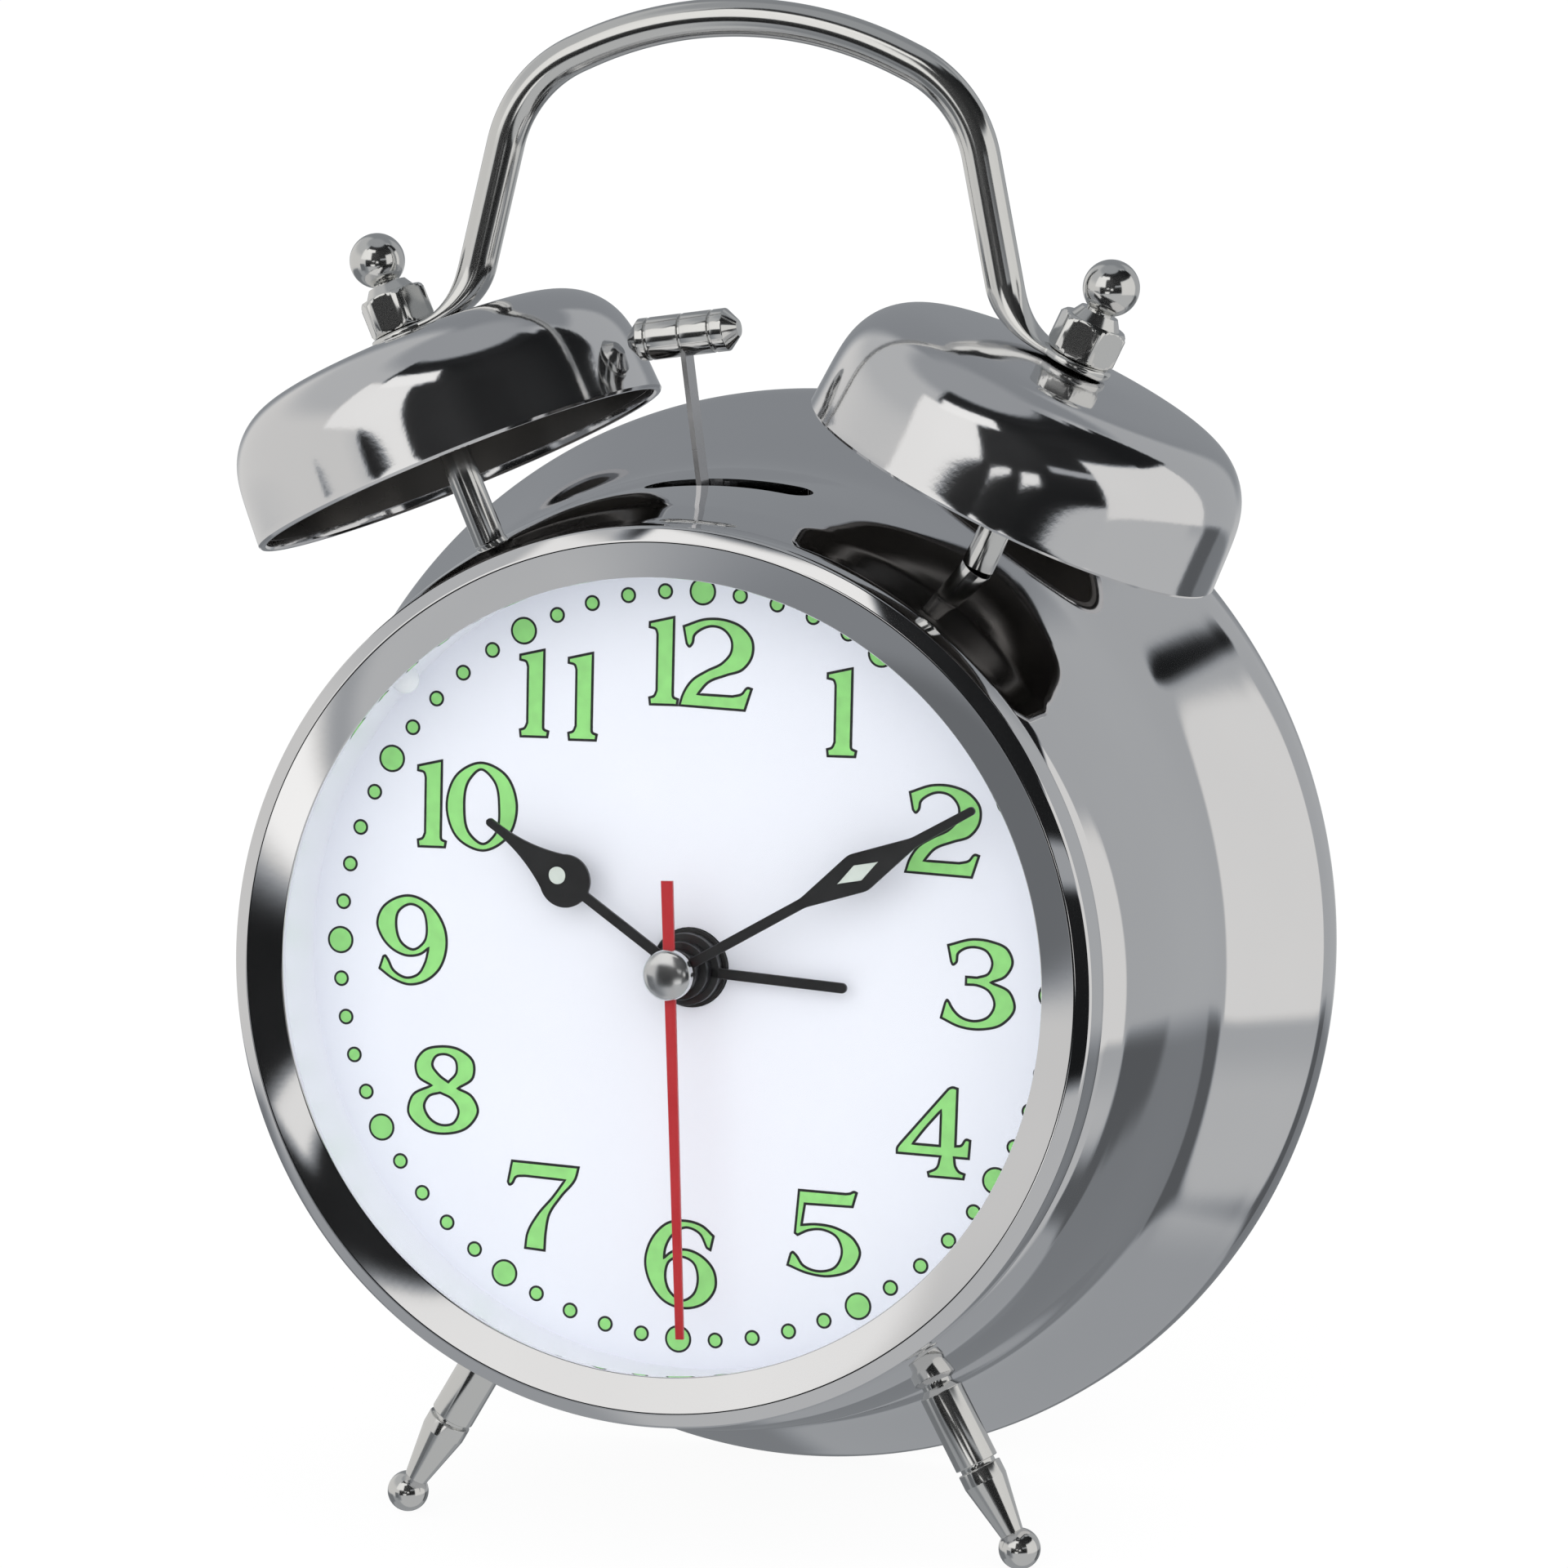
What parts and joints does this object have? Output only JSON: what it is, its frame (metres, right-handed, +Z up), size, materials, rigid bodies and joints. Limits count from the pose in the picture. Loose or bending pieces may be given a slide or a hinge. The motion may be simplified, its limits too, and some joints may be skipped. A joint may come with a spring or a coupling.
{
  "type": "twin-bell alarm clock",
  "caption": "Chrome twin-bell alarm clock with a round flared case, carrying handle, swinging hammer, ball feet and quartz hands.",
  "frame": {"origin": "on the floor, under the centre of the clock's bounding box", "axes": "+Z up, dial faces -Y and leans back, +X to the right of someone reading the dial"},
  "size_m": [0.1194, 0.068, 0.1648],
  "materials": {
    "chrome_sheet": "polished chrome plate on drawn sheet",
    "bright_nickel": "bright nickel plate on turned and bent rod",
    "spring_steel": "plain spring strip",
    "clear_lens": "clear flat glass",
    "white_dial": "satin white paint",
    "white_ring": "translucent white",
    "clear_lamp": "clear lamp",
    "black_hand": "black lacquer",
    "red_hand": "red lacquer",
    "silver_cap": "bright turned",
    "grey_frame": "moulded",
    "black_box": "moulded",
    "white_gear": "moulded, low friction",
    "plain_steel": "zinc plated",
    "copper_coil": "enamelled winding",
    "green_board": "printed circuit laminate",
    "black_cover": "fine satin moulding",
    "black_control": "moulded",
    "cell_jacket": "plain sleeve"
  },
  "bodies": {
    "case": {"front_bezel": "chrome_sheet", "lens": "clear_lens", "dial_ring": "white_ring", "dial_lamp": "clear_lamp", "dial_plate": "white_dial", "case_shell": "chrome_sheet", "inner_frame": "grey_frame", "movement_front": "black_box", "middle_plate": "black_box", "movement_rear": "black_box", "movement_screws": "plain_steel", "step_stator": "plain_steel", "step_coil": "copper_coil", "circuit_board": "green_board", "quartz_crystal": "plain_steel", "left_bell": "chrome_sheet", "right_bell": "chrome_sheet", "left_post": "bright_nickel", "right_post": "bright_nickel", "left_finial": "bright_nickel", "right_finial": "bright_nickel", "stud_nuts": "plain_steel", "handle": "bright_nickel", "left_foot": "bright_nickel", "right_foot": "bright_nickel", "hammer_pivot": "plain_steel", "striker_plate": "plain_steel", "striker_screws": "plain_steel", "bell_motor": "plain_steel", "back_cover": "black_cover", "battery_cells": "cell_jacket", "battery_contacts": "plain_steel", "back_screws": "plain_steel", "switch_retainer": "black_cover"},
    "seconds": {"seconds_arbor": "white_gear", "seconds_hand": "red_hand", "seconds_cap": "silver_cap"},
    "step_gear": {"step_wheel": "white_gear"},
    "rotor": {"step_rotor": "white_gear"},
    "third_gear": {"third_wheel": "white_gear"},
    "centre_gear": {"centre_wheel": "white_gear"},
    "minutes": {"minute_arbor": "white_gear", "minute_hand": "black_hand"},
    "minute_gear": {"minute_wheel": "white_gear"},
    "hours": {"hour_wheel": "white_gear", "hour_hand": "black_hand"},
    "time_setter": {"time_set_shaft": "white_gear", "time_set_knob": "black_control"},
    "alarm_dial": {"alarm_wheel": "white_gear", "alarm_hand": "black_hand"},
    "alarm_setter": {"alarm_set_shaft": "white_gear", "alarm_set_knob": "black_control"},
    "hammer": {"hammer_lever": "white_gear", "hammer_arm": "spring_steel", "hammer_head": "bright_nickel"},
    "crank": {"crank_wheel": "white_gear"},
    "motor_gear": {"motor_pinion": "white_gear"},
    "switch": {"alarm_switch": "black_control"},
    "button": {"light_button": "black_control"},
    "door": {"battery_door": "black_cover"}
  },
  "joints": [
    {"name": "seconds_spin", "type": "hinge", "parent": "case", "child": "seconds", "pos_m": [0, -0.00363, 0.06289], "axis": [0, 0.9923, -0.1238], "continuous": true},
    {"name": "step_gear_spin", "type": "hinge", "parent": "case", "child": "step_gear", "pos_m": [-0.0045, 0.00031, 0.07025], "axis": [0, 0.9923, -0.1238], "continuous": true},
    {"name": "rotor_spin", "type": "hinge", "parent": "case", "child": "rotor", "pos_m": [-0.01177, 0.00083, 0.07442], "axis": [0, 0.9923, -0.1238], "continuous": true},
    {"name": "third_gear_spin", "type": "hinge", "parent": "case", "child": "third_gear", "pos_m": [0.00349, -0.00333, 0.05319], "axis": [0, 0.9923, -0.1238], "continuous": true},
    {"name": "centre_gear_spin", "type": "hinge", "parent": "case", "child": "centre_gear", "pos_m": [0, -0.00621, 0.06321], "axis": [0, 0.9923, -0.1238], "continuous": true},
    {"name": "minute_spin", "type": "hinge", "parent": "case", "child": "minutes", "pos_m": [0, -0.0079, 0.06342], "axis": [0, 0.9923, -0.1238], "continuous": true},
    {"name": "minute_gear_spin", "type": "hinge", "parent": "case", "child": "minute_gear", "pos_m": [-0.01104, -0.00848, 0.05875], "axis": [0, 0.9923, -0.1238], "continuous": true},
    {"name": "hour_spin", "type": "hinge", "parent": "case", "child": "hours", "pos_m": [0, -0.00958, 0.06363], "axis": [0, 0.9923, -0.1238], "continuous": true},
    {"name": "time_set_spin", "type": "hinge", "parent": "case", "child": "time_setter", "pos_m": [-0.01902, -0.00713, 0.06956], "axis": [0, 0.9923, -0.1238], "continuous": true},
    {"name": "alarm_spin", "type": "hinge", "parent": "case", "child": "alarm_dial", "pos_m": [0, -0.01127, 0.06384], "axis": [0, 0.9923, -0.1238], "continuous": true},
    {"name": "alarm_set_spin", "type": "hinge", "parent": "case", "child": "alarm_setter", "pos_m": [0.01902, -0.01051, 0.06998], "axis": [0, 0.9923, -0.1238], "continuous": true},
    {"name": "crank_spin", "type": "hinge", "parent": "case", "child": "crank", "pos_m": [0, -0.00226, 0.08682], "axis": [0, 0.9923, -0.1238], "continuous": true},
    {"name": "motor_spin", "type": "hinge", "parent": "case", "child": "motor_gear", "pos_m": [0.008, -0.00226, 0.08682], "axis": [0, 0.9923, -0.1238], "continuous": true},
    {"name": "hammer_swing", "type": "hinge", "parent": "case", "child": "hammer", "pos_m": [0, -0.00385, 0.09508], "axis": [0, 0.9923, -0.1238], "range_deg": [0, 17.64]},
    {"name": "alarm_switch_slide", "type": "slide", "parent": "case", "child": "switch", "axis": [1, 0, 0], "range_m": [0, 0.004]},
    {"name": "light_button_press", "type": "slide", "parent": "case", "child": "button", "axis": [0, -0.9923, 0.1238], "range_m": [0, 0.0014], "stiffness_N_per_m": 400},
    {"name": "battery_door_hinge", "type": "hinge", "parent": "case", "child": "door", "pos_m": [0, 0.02004, 0.02003], "axis": [-1, 0, 0], "range_deg": [0, 80]}
  ],
  "couplings": [
    {"joint": "step_gear_spin", "follows": "seconds_spin", "ratio": -5},
    {"joint": "rotor_spin", "follows": "seconds_spin", "ratio": 30},
    {"joint": "third_gear_spin", "follows": "seconds_spin", "ratio": -0.13333},
    {"joint": "centre_gear_spin", "follows": "seconds_spin", "ratio": 0.016667},
    {"joint": "minute_gear_spin", "follows": "minute_spin", "ratio": -0.33333},
    {"joint": "hour_spin", "follows": "minute_spin", "ratio": 0.083333},
    {"joint": "time_set_spin", "follows": "minute_spin", "ratio": 0.66667},
    {"joint": "alarm_set_spin", "follows": "alarm_spin", "ratio": -1.6667},
    {"joint": "motor_spin", "follows": "crank_spin", "ratio": -3}
  ]
}
